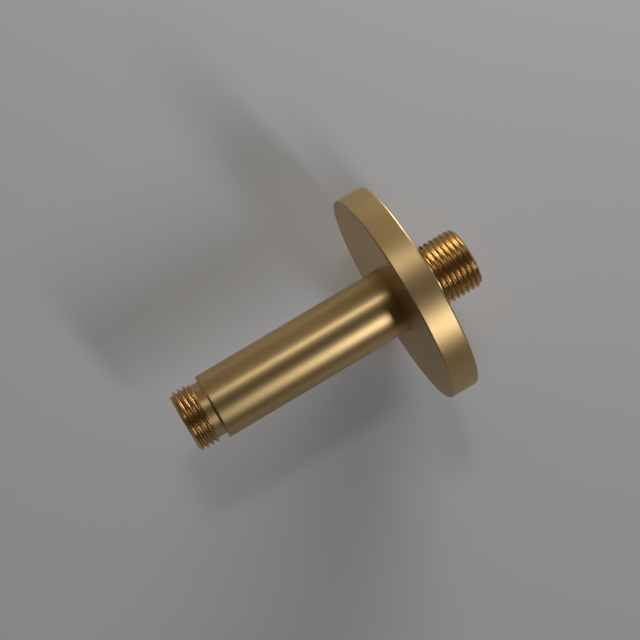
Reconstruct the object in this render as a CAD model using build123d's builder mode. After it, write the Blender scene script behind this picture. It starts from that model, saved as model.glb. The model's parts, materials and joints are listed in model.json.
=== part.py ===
# Ceiling shower arm: a straight brass arm with a male pipe thread at each end and a loose cover
# flange that slides on it. The arm hangs down from the ceiling plane, z = 0, along -Z.
from build123d import *
import os

# Driving dimensions, in millimetres
# Arm
pipe_od = 22.0
waterway_bore = 14.0
pipe_length = 78.0
pipe_above_ceiling = 2.0     # how far the smooth pipe reaches past the flange's back
pipe_edge = 0.6              # rounding of the pipe's two shoulders
thread_major = 20.955        # G1/2, over the crests
thread_chamfer = 1.2         # lead-in at each free end
inlet_thread_length = 13.4
outlet_thread_length = 7.2
relief_od = 18.6             # thread relief, at the thread's root
relief_length = 2.9
bore_chamfer = 0.6

# Cover flange
flange_od = 72.5
flange_thickness = 9.6
flange_face = 3.0            # front wall
rim_wall = 3.2
hub_wall = 4.6               # round the bore, outside the groove's mouth
hub_setback = 1.0            # the hub stands back from the ceiling plane
rim_edge = 0.6               # rounding of the rim's outer edges
recess_corner = 1.2          # rounding in the bottom of the recess
bore_clearance = 0.15        # radial, flange bore to pipe

# O-ring in the flange's bore
ring_height = 1.8            # squeezed section, radial
ring_width = 2.2             # squeezed section, along the pipe
ring_corner = 0.75
ring_clearance = 0.05        # radial, to the pipe and to the groove's floor
groove_side_gap = 0.2        # along the pipe, each side

# Levels along the arm
pipe_top = pipe_above_ceiling
pipe_bottom = pipe_top - pipe_length
inlet_thread_start = pipe_top + relief_length
inlet_end = inlet_thread_start + inlet_thread_length
outlet_thread_start = pipe_bottom - relief_length
outlet_end = outlet_thread_start - outlet_thread_length
flange_front = -flange_thickness
hub_back = -hub_setback
ring_level = (flange_front + hub_back) / 2

# Radii
pipe_r = pipe_od / 2
bore_r = waterway_bore / 2
thread_r = thread_major / 2
relief_r = relief_od / 2
flange_r = flange_od / 2
flange_bore_r = pipe_r + bore_clearance
ring_inner_r = pipe_r + ring_clearance
groove_r = ring_inner_r + ring_height + ring_clearance
hub_r = flange_bore_r + hub_wall
shoulder_rounding = min(pipe_edge, 0.75 * (pipe_r - relief_r))    # stays within the shoulder's step


# Arm: pipe, relief necks, thread blanks and waterway, turned from one bar
with BuildPart() as shower_arm:
    with BuildSketch(Plane.XZ):
        with BuildLine():
            Polyline(
                (bore_r, outlet_end + bore_chamfer),
                (bore_r + bore_chamfer, outlet_end),
                (thread_r - thread_chamfer, outlet_end),
                (thread_r, outlet_end + thread_chamfer),
                (thread_r, outlet_thread_start),
                (relief_r, outlet_thread_start),
                (relief_r, pipe_bottom),
                (pipe_r, pipe_bottom),
                (pipe_r, pipe_top),
                (relief_r, pipe_top),
                (relief_r, inlet_thread_start),
                (thread_r, inlet_thread_start),
                (thread_r, inlet_end - thread_chamfer),
                (thread_r - thread_chamfer, inlet_end),
                (bore_r + bore_chamfer, inlet_end),
                (bore_r, inlet_end - bore_chamfer),
                close=True,
            )
        make_face()
    revolve(axis=Axis.Z)
    shoulders = shower_arm.edges().filter_by(GeomType.CIRCLE).filter_by(
        lambda edge: abs(edge.radius - pipe_r) < pipe_edge / 10
    )
    fillet(shoulders, radius=shoulder_rounding)

# Cover flange: a shallow cup with its open side to the ceiling and a grooved hub on the pipe
with BuildPart() as ceiling_flange:
    with BuildSketch(Plane.XZ):
        with BuildLine():
            Polyline(
                (flange_bore_r, flange_front),
                (flange_r, flange_front),
                (flange_r, 0),
                (flange_r - rim_wall, 0),
                (flange_r - rim_wall, flange_front + flange_face),
                (hub_r, flange_front + flange_face),
                (hub_r, hub_back),
                (flange_bore_r, hub_back),
                close=True,
            )
        make_face()
    revolve(axis=Axis.Z)
    rings = ceiling_flange.edges().filter_by(GeomType.CIRCLE)
    outer_edges = rings.filter_by(lambda edge: abs(edge.radius - flange_r) < rim_edge / 10)
    recess_floor = rings.filter_by(
        lambda edge: abs(edge.center().Z - flange_front - flange_face) < recess_corner / 10
    )
    fillet(outer_edges, radius=rim_edge)
    fillet(recess_floor, radius=recess_corner)
    with BuildSketch(Plane.XZ):
        with Locations(((flange_bore_r + groove_r) / 2, ring_level)):
            Rectangle(groove_r - flange_bore_r, ring_width + 2 * groove_side_gap)
    revolve(axis=Axis.Z, mode=Mode.SUBTRACT)

# O-ring, in the squeezed section that it has round the pipe
with BuildPart() as flange_o_ring:
    with BuildSketch(Plane.XZ):
        with Locations((ring_inner_r + ring_height / 2, ring_level)):
            RectangleRounded(ring_height, ring_width, ring_corner)
    revolve(axis=Axis.Z)

# One STEP file for each piece
os.makedirs("parts", exist_ok=True)
shower_arm.part.label = "shower_arm"
ceiling_flange.part.label = "ceiling_flange"
flange_o_ring.part.label = "flange_o_ring"
export_step(shower_arm.part, "parts/shower_arm.step")
export_step(ceiling_flange.part, "parts/ceiling_flange.step")
export_step(flange_o_ring.part, "parts/flange_o_ring.step")
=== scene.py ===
# %% [markdown]
# # A ceiling shower arm in brushed brass
# A shower arm hangs from the ceiling and carries water down to the shower head. It is a short
# brass pipe with a pipe thread at each end, and a round cover flange slides on it to hide the
# hole in the ceiling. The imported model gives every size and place. This script turns the pieces
# again with finer edges, cuts the real thread and gives them their finish.

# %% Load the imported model
import json
from math import ceil, cos, hypot, pi, radians, sin, tan

import bmesh
import bpy
from mathutils import Euler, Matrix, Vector


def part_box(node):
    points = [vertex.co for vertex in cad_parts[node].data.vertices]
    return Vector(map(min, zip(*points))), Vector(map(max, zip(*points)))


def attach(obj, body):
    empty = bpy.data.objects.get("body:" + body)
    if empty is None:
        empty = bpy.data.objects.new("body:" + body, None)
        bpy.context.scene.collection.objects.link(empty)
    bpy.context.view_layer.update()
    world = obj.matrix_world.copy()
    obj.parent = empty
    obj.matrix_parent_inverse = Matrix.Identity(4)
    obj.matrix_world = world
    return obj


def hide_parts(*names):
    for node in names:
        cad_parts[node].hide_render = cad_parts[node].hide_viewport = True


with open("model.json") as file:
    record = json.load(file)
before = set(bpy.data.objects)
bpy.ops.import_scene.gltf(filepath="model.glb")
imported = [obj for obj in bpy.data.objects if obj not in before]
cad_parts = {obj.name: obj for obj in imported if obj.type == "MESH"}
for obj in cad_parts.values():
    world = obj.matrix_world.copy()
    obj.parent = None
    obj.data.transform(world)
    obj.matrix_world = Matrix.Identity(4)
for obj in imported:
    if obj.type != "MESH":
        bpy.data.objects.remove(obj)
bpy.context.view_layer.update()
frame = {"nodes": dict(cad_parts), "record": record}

# %% [markdown]
# ## Sizes from the frame
# Every piece here replaces or dresses a solid that is already in place, so the sizes are read from
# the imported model: radii and levels from the nodes' boxes, thread sizes from the mounts. Only the
# small features that a box can't tell are written down, in metres. Throughout, values in capitals
# are written down and values in small letters are worked out.

# %% Read the sizes
MM = 0.001
RELIEF_RADIUS = 9.3 * MM
RELIEF_LENGTH = 2.9 * MM

arm_low, arm_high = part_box("shower_arm")
pipe_radius = arm_high[0]
outlet_end = arm_low[2]
inlet_end = arm_high[2]

flange_low, flange_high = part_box("ceiling_flange")
flange_radius = flange_high[0]
flange_front = flange_low[2]
flange_back = flange_high[2]

mounts = {mount["name"]: mount for mount in frame["record"]["mounts"]}
inlet, outlet = mounts["inlet_thread"], mounts["outlet_thread"]
crest_radius = inlet["dims"]["r_mm"] * MM
inlet_thread_start = inlet["pos_m"][2] - inlet["dims"]["length_mm"] * MM / 2
outlet_thread_start = outlet["pos_m"][2] + outlet["dims"]["length_mm"] * MM / 2
pipe_top = inlet_thread_start - RELIEF_LENGTH
pipe_bottom = outlet_thread_start + RELIEF_LENGTH
print("pipe from", pipe_bottom, "to", pipe_top, "with radius", pipe_radius)
print("threads from", outlet_thread_start, "and", inlet_thread_start)

# %% [markdown]
# ## Drawing a half section
# A turned piece starts as half of its section. By hand one would take a single vertex and extrude
# it from corner to corner, and draw_outline does just that. Each corner may carry a rounding, which
# rounded_outline makes a short arc, because a real edge is never quite sharp and catches the light.

# %% Draw a half section
ARC_STEPS = 5
MERGE_DISTANCE = 0.002 * MM


def rounded_outline(corners):
    """Turns corners of (radius, level, rounding) into points, with an arc at each rounded corner."""
    points = []
    for i, (radius, level, rounding) in enumerate(corners):
        corner = Vector((radius, level))
        if rounding == 0:
            points.append(corner)
            continue
        before = (Vector(corners[i - 1][:2]) - corner).normalized()
        after = (Vector(corners[(i + 1) % len(corners)][:2]) - corner).normalized()
        half = before.angle(after) / 2
        centre = corner + (before + after).normalized() * rounding / sin(half)
        start = corner + before * rounding / tan(half) - centre
        end = corner + after * rounding / tan(half) - centre
        for step in range(ARC_STEPS + 1):
            share = step / ARC_STEPS
            points.append(centre + start.slerp(end, share).normalized() * rounding)
    return points


def draw_outline(name, points, closed=False):
    """Draws a half section in the XZ plane by extruding one vertex from point to point."""
    bpy.ops.object.select_all(action="DESELECT")
    bpy.ops.mesh.primitive_plane_add(size=MM)
    outline = bpy.context.object
    outline.name = name
    outline.data.name = name
    bpy.ops.object.mode_set(mode="EDIT")
    bpy.ops.mesh.select_mode(type="VERT")
    bpy.ops.mesh.select_all(action="SELECT")
    bpy.ops.mesh.merge(type="CENTER")
    bpy.ops.transform.translate(value=(points[0][0], 0, points[0][1]))
    ends = list(points[1:]) + ([points[0]] if closed else [])
    here = points[0]
    for there in ends:
        move = (there[0] - here[0], 0, there[1] - here[1])
        bpy.ops.mesh.extrude_region_move(TRANSFORM_OT_translate={"value": move})
        here = there
    bpy.ops.mesh.select_all(action="SELECT")
    bpy.ops.mesh.remove_doubles(threshold=MERGE_DISTANCE)
    bpy.ops.object.mode_set(mode="OBJECT")
    return outline


print("each rounding is an arc of", ARC_STEPS, "steps")

# %% [markdown]
# ## Turning it
# The half section is spun once round the axis, as a lathe does. Spin leaves two rows of vertices
# where it comes round to its start, and it may turn faces inwards, so close_up puts both right.
# The turned faces are then smoothed up to the sharp edges. The Weighted Normal modifier lets the
# wide faces lead, so that they look true right up to their small roundings.

# %% Spin and close it
TURN_SEGMENTS = 192


def pick(piece):
    """Selects one piece alone and makes it the active one."""
    bpy.ops.object.select_all(action="DESELECT")
    piece.select_set(True)
    bpy.context.view_layer.objects.active = piece


def close_up(piece):
    """Merges the vertices that meet and turns every face outwards."""
    pick(piece)
    bpy.ops.object.mode_set(mode="EDIT")
    bpy.ops.mesh.select_all(action="SELECT")
    bpy.ops.mesh.remove_doubles(threshold=MERGE_DISTANCE)
    bpy.ops.mesh.dissolve_degenerate(threshold=MERGE_DISTANCE / 10)
    bpy.ops.mesh.normals_make_consistent(inside=False)
    bpy.ops.object.mode_set(mode="OBJECT")


def turn(name, points, closed=False):
    """Spins a half section once round the Z axis."""
    piece = draw_outline(name, points, closed)
    bpy.ops.object.mode_set(mode="EDIT")
    bpy.ops.mesh.select_all(action="SELECT")
    bpy.ops.mesh.spin(steps=TURN_SEGMENTS, angle=2 * pi, center=(0, 0, 0), axis=(0, 0, 1))
    bpy.ops.object.mode_set(mode="OBJECT")
    close_up(piece)
    return piece


print("a turned piece has", TURN_SEGMENTS, "segments round its axis")

# %% Smooth and measure it
SHARP_DEGREES = 35


def smooth_faces(piece):
    """Smooths the turned faces, and lets the wide faces lead the shading at their roundings."""
    pick(piece)
    bpy.ops.object.shade_smooth_by_angle(angle=radians(SHARP_DEGREES))
    weighted = piece.modifiers.new("even shading", "WEIGHTED_NORMAL")
    weighted.keep_sharp = True
    bpy.ops.object.modifier_apply(modifier=weighted.name)


def report_mesh(piece):
    """Prints a piece's triangles, open edges and volume."""
    mesh = bmesh.new()
    mesh.from_mesh(piece.data)
    open_edges = sum(1 for edge in mesh.edges if len(edge.link_faces) != 2)
    triangles = sum(len(face.verts) - 2 for face in mesh.faces)
    volume = mesh.calc_volume(signed=True) / MM**3
    mesh.free()
    print(piece.name, "triangles", triangles, "open edges", open_edges, "volume mm3", round(volume, 1))


print("edges over", SHARP_DEGREES, "degrees stay sharp")

# %% [markdown]
# ## The pipe thread
# Both ends carry the half-inch pipe thread: 55 degree flanks with rounded crests and roots, one
# turn every 1.814 mm, right-hand. One pitch of it is drawn and the Screw modifier winds it up.
# Past each end of the thread the lathe has cut a chamfer, so every vertex is then held inside the
# chamfered blank: that cuts the crests away at the ends and leaves a plain ring to join on to.

# %% Draw one pitch
PITCH = 1.814 * MM
THREAD_DEPTH = 0.640327 * PITCH
THREAD_ROUNDING = 0.137329 * PITCH
FLANK_ANGLE = radians(27.5)
THREAD_ARC_STEPS = 3
FLANK_STEPS = 5
root_radius = crest_radius - THREAD_DEPTH


def one_pitch(level):
    """One pitch of the thread's outline, from root to root, starting at the given level."""
    sweep = pi / 2 - FLANK_ANGLE
    turns = [sweep * step / THREAD_ARC_STEPS for step in range(THREAD_ARC_STEPS + 1)]
    root = [(root_radius + THREAD_ROUNDING * (1 - cos(a)), THREAD_ROUNDING * sin(a)) for a in turns]
    crest = [(crest_radius - THREAD_ROUNDING * (1 - cos(a)), PITCH / 2 - THREAD_ROUNDING * sin(a))
             for a in reversed(turns)]
    foot, head = Vector(root[-1]), Vector(crest[0])
    flank = [foot.lerp(head, step / FLANK_STEPS) for step in range(1, FLANK_STEPS)]
    rising = root + flank + crest
    falling = [(radius, PITCH - height) for radius, height in reversed(rising[:-1])]
    return [(radius, level + height) for radius, height in rising + falling]


print("one pitch has", len(one_pitch(0)), "points from radius", root_radius, "to", crest_radius)

# %% Wind the two threads
THREAD_CHAMFER = 1.2 * MM
CHAMFER_SLOPE = 1
RELIEF_SLOPE = 4
LEAD_IN_TURNS = 2
free_end_radius = crest_radius - THREAD_CHAMFER


def cut_back(thread, low_end, high_end):
    """Holds a thread inside its blank, whose ends are each a level, a radius and a slope."""
    low, low_radius, low_slope = low_end
    high, high_radius, high_slope = high_end
    for vertex in thread.data.vertices:
        x, y, z = vertex.co
        reach = hypot(x, y)
        level = min(max(z, low), high)
        limit = min(low_radius + low_slope * (level - low), high_radius + high_slope * (high - level))
        kept = min(reach, limit)
        vertex.co = (x * kept / reach, y * kept / reach, level)


def wind_thread(name, low_end, high_end):
    """Winds a thread from its low end to its high end and cuts it back to its blank."""
    low, high = low_end[0], high_end[0]
    thread = draw_outline(name, one_pitch(low - LEAD_IN_TURNS * PITCH))
    screw = thread.modifiers.new("turns", "SCREW")
    screw.axis = "Z"
    screw.angle = 2 * pi
    screw.screw_offset = PITCH
    screw.iterations = ceil((high - low) / PITCH) + LEAD_IN_TURNS
    screw.steps = TURN_SEGMENTS
    screw.render_steps = TURN_SEGMENTS
    bpy.ops.object.modifier_apply(modifier=screw.name)
    cut_back(thread, low_end, high_end)
    close_up(thread)
    print(name, "turns", round((high - low) / PITCH, 1))
    return thread


inlet_thread = wind_thread("inlet_thread",
                           low_end=(inlet_thread_start, RELIEF_RADIUS, RELIEF_SLOPE),
                           high_end=(inlet_end, free_end_radius, CHAMFER_SLOPE))
outlet_thread = wind_thread("outlet_thread",
                            low_end=(outlet_end, free_end_radius, CHAMFER_SLOPE),
                            high_end=(outlet_thread_start, RELIEF_RADIUS, RELIEF_SLOPE))

# %% [markdown]
# ## The arm
# The arm is one turned bar: a smooth pipe, a relief neck where each thread stops, and a waterway
# bored through. Its outside between the threads and its inside are turned as two open shells whose
# end rings are the threads' own, so joining the four shells and merging the rings closes it.

# %% Turn the arm's outside and its waterway
BORE_RADIUS = 7.0 * MM
BORE_CHAMFER = 0.6 * MM
SHOULDER_ROUNDING = 0.6 * MM

arm = turn("brass_arm", rounded_outline([
    (RELIEF_RADIUS, outlet_thread_start, 0),
    (RELIEF_RADIUS, pipe_bottom, 0),
    (pipe_radius, pipe_bottom, SHOULDER_ROUNDING),
    (pipe_radius, pipe_top, SHOULDER_ROUNDING),
    (RELIEF_RADIUS, pipe_top, 0),
    (RELIEF_RADIUS, inlet_thread_start, 0),
]))
waterway = turn("waterway", rounded_outline([
    (free_end_radius, outlet_end, 0),
    (BORE_RADIUS + BORE_CHAMFER, outlet_end, 0),
    (BORE_RADIUS, outlet_end + BORE_CHAMFER, 0),
    (BORE_RADIUS, inlet_end - BORE_CHAMFER, 0),
    (BORE_RADIUS + BORE_CHAMFER, inlet_end, 0),
    (free_end_radius, inlet_end, 0),
]))
print("shells", [shell.name for shell in (inlet_thread, outlet_thread, waterway, arm)])

# %% Join the arm and its threads
bpy.ops.object.select_all(action="DESELECT")
for shell in (inlet_thread, outlet_thread, waterway, arm):
    shell.select_set(True)
bpy.context.view_layer.objects.active = arm
bpy.ops.object.join()
close_up(arm)
smooth_faces(arm)
report_mesh(arm)

# %% [markdown]
# ## The cover flange
# The flange is a shallow turned cup: a flat front, a broad rim, a recess towards the ceiling and a
# hub round the bore with a groove for the rubber ring. It is one closed half section, spun. The
# rim's two edges are only just broken, and that thin line is what catches the light.

# %% Turn the flange
RIM_ROUNDING = 0.6 * MM
RECESS_ROUNDING = 1.2 * MM
RIM_WALL = 3.2 * MM
FACE_WALL = 3.0 * MM
HUB_WALL = 4.6 * MM
HUB_SETBACK = 1.0 * MM
BORE_CLEARANCE = 0.15 * MM
GROOVE_DEPTH = 1.75 * MM
GROOVE_WIDTH = 2.6 * MM
EDGE_BREAK = 0.2 * MM
flange_bore = pipe_radius + BORE_CLEARANCE
hub_radius = flange_bore + HUB_WALL
recess_radius = flange_radius - RIM_WALL
recess_floor = flange_front + FACE_WALL
hub_back = flange_back - HUB_SETBACK
groove_radius = flange_bore + GROOVE_DEPTH
groove_level = (flange_front + hub_back) / 2

flange = turn("brass_cover_flange", rounded_outline([
    (flange_bore, flange_front, EDGE_BREAK),
    (flange_radius, flange_front, RIM_ROUNDING),
    (flange_radius, flange_back, RIM_ROUNDING),
    (recess_radius, flange_back, EDGE_BREAK),
    (recess_radius, recess_floor, RECESS_ROUNDING),
    (hub_radius, recess_floor, RECESS_ROUNDING),
    (hub_radius, hub_back, EDGE_BREAK),
    (flange_bore, hub_back, EDGE_BREAK),
    (flange_bore, groove_level + GROOVE_WIDTH / 2, 0),
    (groove_radius, groove_level + GROOVE_WIDTH / 2, 0),
    (groove_radius, groove_level - GROOVE_WIDTH / 2, 0),
    (flange_bore, groove_level - GROOVE_WIDTH / 2, 0),
]), closed=True)
smooth_faces(flange)
report_mesh(flange)

# %% [markdown]
# ## Moulded rubber
# The O-ring hides in the flange's groove and shows only as a black line round the pipe. It is matt
# rubber with a faint bloom, so one noise lets its colour and its roughness wander a little. By hand
# one drags each node into the shader editor and draws its wires. The helpers do that in one line a
# node: each socket is given a plain value or another node's output.

# %% Helpers for wiring a finish
def new_finish(name):
    """Starts a material and hands it back with its node tree and its shader."""
    finish = bpy.data.materials.new(name)
    finish.use_nodes = True
    return finish, finish.node_tree, finish.node_tree.nodes["Principled BSDF"]


def feed(tree, socket, value):
    """Links a socket to another node's output, or sets it to a plain value."""
    if isinstance(value, bpy.types.NodeSocket):
        tree.links.new(value, socket)
    else:
        socket.default_value = value


def noise(tree, place, scale, detail, roughness=0.5):
    """A Noise Texture over a place, from 0 to 1."""
    node = tree.nodes.new("ShaderNodeTexNoise")
    feed(tree, node.inputs["Vector"], place)
    feed(tree, node.inputs["Scale"], scale)
    feed(tree, node.inputs["Detail"], detail)
    feed(tree, node.inputs["Roughness"], roughness)
    return node.outputs["Fac"]


def mix(tree, kind, factor, first, second):
    """A Mix node of two numbers (FLOAT) or two colours (RGBA)."""
    node = tree.nodes.new("ShaderNodeMix")
    node.data_type = kind
    feed(tree, node.inputs["Factor"], factor)
    feed(tree, node.inputs["A"], first)
    feed(tree, node.inputs["B"], second)
    return node.outputs["Result"]


def remap(tree, value, span, target, curve="LINEAR"):
    """A Map Range node that takes one span of a value to another."""
    node = tree.nodes.new("ShaderNodeMapRange")
    node.interpolation_type = curve
    sockets = ("Value", "From Min", "From Max", "To Min", "To Max")
    for socket, given in zip(sockets, (value, *span, *target)):
        feed(tree, node.inputs[socket], given)
    return node.outputs["Result"]


print("wiring helpers", [helper.__name__ for helper in (new_finish, feed, noise, mix, remap)])

# %% Make the rubber
RUBBER_TINT = (0.012, 0.012, 0.012, 1)
BLOOM_TINT = (0.03, 0.03, 0.03, 1)
RUBBER_ROUGHNESS = (0.55, 0.75)
BLOOM_SCALE = 900
WHOLE_NOISE = (0, 1)


def moulded_rubber(name):
    """A matt black rubber with a faint bloom."""
    rubber, tree, shader = new_finish(name)
    place = tree.nodes.new("ShaderNodeTexCoord").outputs["Object"]
    bloom = noise(tree, place, scale=BLOOM_SCALE, detail=3)
    feed(tree, shader.inputs["Base Color"], mix(tree, "RGBA", bloom, RUBBER_TINT, BLOOM_TINT))
    feed(tree, shader.inputs["Roughness"], remap(tree, bloom, WHOLE_NOISE, RUBBER_ROUGHNESS))
    return rubber


black_rubber = moulded_rubber("black_rubber")
print("finish", black_rubber.name, "roughness", RUBBER_ROUGHNESS)

# %% [markdown]
# ## Brushed brass
# The finish is satin: the brass was brushed while it turned, so its fine lines run round the axis.
# They are a noise that changes fast along the axis and along the radius and slowly round the axis.
# They break up the gloss and the tint and lift the surface by a hair. A second, broad noise keeps
# large faces from being one flat colour. A little anisotropy round the axis widens the streaks.
# Past its two necks the arm is as the thread tool left it: a little glossier and without lines.
# The flange is brushed all over, so its two levels lie far outside it.

# %% Lay the brushed lines
LINE_SPACING = 0.15 * MM
LINE_STRETCH = 2.5


def number_math(tree, operation, *values):
    """A Math node on plain values or other nodes' outputs."""
    node = tree.nodes.new("ShaderNodeMath")
    node.operation = operation
    for socket, value in zip(node.inputs, values):
        feed(tree, socket, value)
    return node.outputs["Value"]


def vector_math(tree, operation, *values):
    """A Vector Math node, which gives one number for a length or a dot product."""
    node = tree.nodes.new("ShaderNodeVectorMath")
    node.operation = operation
    for socket, value in zip(node.inputs, values):
        feed(tree, socket, value)
    return node.outputs["Value" if operation in ("LENGTH", "DOT_PRODUCT") else "Vector"]


def brushed_lines(tree, place, level):
    """A noise drawn out into lines that run round the Z axis."""
    flat = vector_math(tree, "MULTIPLY", place, (1, 1, 0))
    reach = vector_math(tree, "LENGTH", flat)
    outward = vector_math(tree, "NORMALIZE", flat)
    across = number_math(tree, "ADD", reach, level)
    stretched = tree.nodes.new("ShaderNodeCombineXYZ")
    feed(tree, stretched.inputs["Z"], number_math(tree, "DIVIDE", across, LINE_SPACING))
    along = (LINE_STRETCH, LINE_STRETCH, 0)
    around = vector_math(tree, "MULTIPLY_ADD", outward, along, stretched.outputs["Vector"])
    return noise(tree, around, scale=1, detail=3, roughness=0.6)


print("brushed lines about", LINE_SPACING / MM, "mm apart")

# %% Make the brass
BRASS_TINT = (0.58, 0.395, 0.175, 1)
BRASS_TINT_DEEP = (0.53, 0.35, 0.15, 1)
ARM_ROUGHNESS = 0.33
FLANGE_ROUGHNESS = 0.37
CUT_ROUGHNESS = 0.27
GLOSS_SPREAD = 0.02
MIDDLE_OF_NOISE = (0.25, 0.75)
LINE_SHARE = 0.5
LINE_HEIGHT = 0.0003 * MM
BROAD_SCALE = 70
ANISOTROPY = 0.3
FAR_OUTSIDE = (-1, 1)


def brushed_brass(name, roughness, levels):
    """A satin brass, brushed between two levels and as cut past them."""
    brass, tree, shader = new_finish(name)
    place = tree.nodes.new("ShaderNodeTexCoord").outputs["Object"]
    parts = tree.nodes.new("ShaderNodeSeparateXYZ")
    feed(tree, parts.inputs["Vector"], place)
    level = parts.outputs["Z"]
    above = number_math(tree, "GREATER_THAN", level, levels[0])
    below = number_math(tree, "LESS_THAN", level, levels[1])
    brushed = number_math(tree, "MULTIPLY", above, below)
    lines = brushed_lines(tree, place, level)
    broad = noise(tree, place, scale=BROAD_SCALE, detail=2)

    shade = number_math(tree, "MULTIPLY_ADD", lines, LINE_SHARE, broad)
    satin = (roughness - GLOSS_SPREAD, roughness + GLOSS_SPREAD)
    gloss = remap(tree, lines, MIDDLE_OF_NOISE, satin)
    hair = tree.nodes.new("ShaderNodeBump")
    feed(tree, hair.inputs["Strength"], brushed)
    feed(tree, hair.inputs["Distance"], LINE_HEIGHT)
    feed(tree, hair.inputs["Height"], lines)
    grain = tree.nodes.new("ShaderNodeTangent")
    grain.direction_type = "RADIAL"
    grain.axis = "Z"

    shader.inputs["Metallic"].default_value = 1
    shader.inputs["Anisotropic"].default_value = ANISOTROPY
    feed(tree, shader.inputs["Base Color"], mix(tree, "RGBA", shade, BRASS_TINT_DEEP, BRASS_TINT))
    feed(tree, shader.inputs["Roughness"], mix(tree, "FLOAT", brushed, CUT_ROUGHNESS, gloss))
    feed(tree, shader.inputs["Normal"], hair.outputs["Normal"])
    feed(tree, shader.inputs["Tangent"], grain.outputs["Tangent"])
    return brass


arm_brass = brushed_brass("arm_brass", ARM_ROUGHNESS, (outlet_thread_start, inlet_thread_start))
flange_brass = brushed_brass("flange_brass", FLANGE_ROUGHNESS, FAR_OUTSIDE)
print("finish", arm_brass.name, "roughness", ARM_ROUGHNESS)
print("finish", flange_brass.name, "roughness", FLANGE_ROUGHNESS)

# %% [markdown]
# ## Dress the pieces
# The new arm and flange stand for their solids and move with the same bodies. The O-ring's solid
# already has its shape, so it only takes the rubber.

# %% Ride on the bodies
arm.data.materials.append(arm_brass)
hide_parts("shower_arm")
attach(arm, "arm")

flange.data.materials.append(flange_brass)
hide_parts("ceiling_flange")
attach(flange, "flange")

o_ring = frame["nodes"]["flange_o_ring"]
o_ring.data.materials.clear()
o_ring.data.materials.append(black_rubber)
print("dressed", arm.name, flange.name, o_ring.name)

# %% [markdown]
# ## The table
# The arm is shown lying down, over a plain pale table that takes its shadow. It keeps its own
# frame, upright, so the table stands behind it, just clear of the flange's rim. A table that leaned
# on the outlet too would cut into the flange as that slides down the pipe, so this one runs along
# the arm. It is see-through from behind, so that the arm can be looked at from there.

# %% Stand the table behind the arm
TABLE_SIZE = 4
TABLE_GAP = 4 * MM
table_place = (0, flange_radius + TABLE_GAP, 0)
upright = (pi / 2, 0, 0)
bpy.ops.object.select_all(action="DESELECT")
bpy.ops.mesh.primitive_plane_add(size=TABLE_SIZE, location=table_place, rotation=upright)
table = bpy.context.object
table.name = "table"
print("table stands", round(table_place[1] / MM, 2), "mm behind the axis")

# %% Paint the table
TABLE_TINT = (0.72, 0.72, 0.72, 1)
TABLE_ROUGHNESS = 0.9
TABLE_SHINE = 0.2

paint, tree, shader = new_finish("pale_table")
shader.inputs["Base Color"].default_value = TABLE_TINT
shader.inputs["Roughness"].default_value = TABLE_ROUGHNESS
shader.inputs["Specular IOR Level"].default_value = TABLE_SHINE
clear = tree.nodes.new("ShaderNodeBsdfTransparent")
side = tree.nodes.new("ShaderNodeNewGeometry")
one_sided = tree.nodes.new("ShaderNodeMixShader")
feed(tree, one_sided.inputs["Fac"], side.outputs["Backfacing"])
feed(tree, one_sided.inputs[1], shader.outputs["BSDF"])
feed(tree, one_sided.inputs[2], clear.outputs["BSDF"])
feed(tree, tree.nodes["Material Output"].inputs["Surface"], one_sided.outputs["Shader"])
table.data.materials.append(paint)
print("painted", table.name, "with", paint.name)

# %% [markdown]
# ## Light
# Satin metal shows what stands round it. Two far soft boxes, one to each side of the camera and
# towards the inlet, draw the two streaks along the pipe, and the flange cuts them off before they
# reach it. A key low over the table lights the thread's crests and throws the shadow. The world
# fades from grey on the key's side to dark on the other.

# %% Set up the soft boxes
LAMP_AIM = Vector((0, 0, -0.03))
STRIP_DISTANCE = 3
KEY_DISTANCE = 0.5
STRIP_TINT = (0.96, 1, 1.08)


def soft_box(name, angle, distance, level, width, length, power):
    """An area light at an angle round the arm, counted from the camera's side, facing the arm."""
    bpy.ops.object.select_all(action="DESELECT")
    place = Vector((sin(angle) * distance, -cos(angle) * distance, level))
    bpy.ops.object.light_add(type="AREA", location=place)
    box = bpy.context.object
    box.name = name
    box.data.shape = "RECTANGLE"
    box.data.size = width
    box.data.size_y = length
    box.data.energy = power
    box.rotation_mode = "QUATERNION"
    box.rotation_quaternion = (LAMP_AIM - place).to_track_quat("-Z", "Y")
    return box


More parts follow.
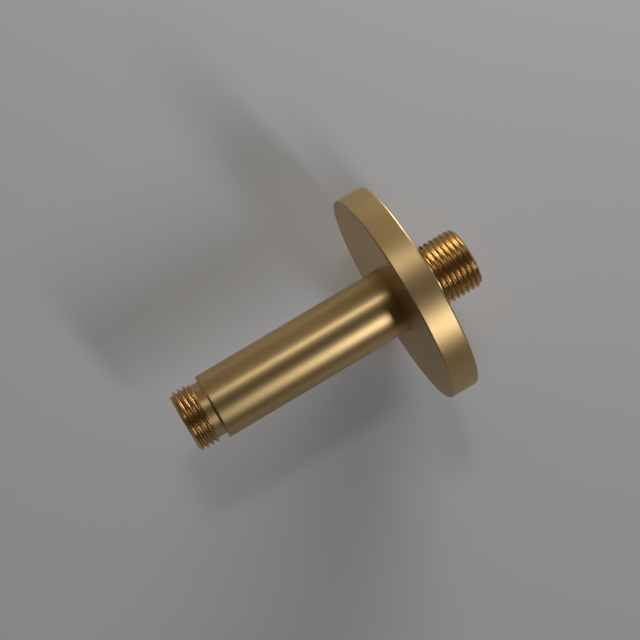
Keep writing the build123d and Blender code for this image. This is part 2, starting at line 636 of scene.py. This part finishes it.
upper_strip = soft_box("upper_strip", angle=radians(-27.5), distance=STRIP_DISTANCE, level=0.37,
                       width=0.36, length=0.6, power=5.7)
lower_strip = soft_box("lower_strip", angle=radians(45.5), distance=STRIP_DISTANCE, level=0.63,
                       width=1.35, length=0.36, power=16.5)
key_box = soft_box("key_box", angle=radians(-80), distance=KEY_DISTANCE, level=0.45,
                   width=0.25, length=0.36, power=3.6)
for strip in (upper_strip, lower_strip):
    strip.data.color = STRIP_TINT
for lamp in (upper_strip, lower_strip, key_box):
    print(lamp.name, round(lamp.data.energy, 2), "W")

# %% Fade the world
KEY_SIDE = (-0.95, -0.1, 0.3)
FADE_SPAN = (0, 0.85)
WORLD_STRENGTH = (0.05, 0.2)
WORLD_TINT = (1, 0.92, 0.8, 1)

world = bpy.data.worlds.new("studio")
world.use_nodes = True
tree = world.node_tree
background = tree.nodes["Background"]
gaze = tree.nodes.new("ShaderNodeTexCoord").outputs["Generated"]
towards_key = vector_math(tree, "DOT_PRODUCT", gaze, KEY_SIDE)
strength = remap(tree, towards_key, FADE_SPAN, WORLD_STRENGTH, curve="SMOOTHSTEP")
feed(tree, background.inputs["Strength"], strength)
background.inputs["Color"].default_value = WORLD_TINT
bpy.context.scene.world = world
bpy.context.scene.view_settings.view_transform = "Standard"
print("world", world.name, "strength", WORLD_STRENGTH)

# %% [markdown]
# ## Camera
# The camera looks across the arm, a little up towards the flange, through a long lens. It is rolled
# so that the arm climbs to the right. By hand one would turn it in its own axes: first level, then
# tilted up, then rolled round its line of sight, and the two matrices below do that in turn.

# %% Place the camera
CAMERA_PLACE = (-0.0063, -0.5607, -0.0892)
CAMERA_TILT = radians(5.76)
CAMERA_ROLL = radians(59.35)
CAMERA_LENS = 100
SENSOR_WIDTH = 36
NEAREST_SEEN = 0.01

bpy.ops.object.select_all(action="DESELECT")
bpy.ops.object.camera_add(location=CAMERA_PLACE)
camera = bpy.context.object
camera.name = "camera"
camera.data.lens = CAMERA_LENS
camera.data.sensor_width = SENSOR_WIDTH
camera.data.clip_start = NEAREST_SEEN
level_gaze = Euler((pi / 2 + CAMERA_TILT, 0, 0)).to_matrix()
roll = Euler((0, 0, CAMERA_ROLL)).to_matrix()
camera.rotation_euler = (level_gaze @ roll).to_euler()
bpy.context.scene.camera = camera
print("camera", tuple(camera.location), "lens", camera.data.lens)
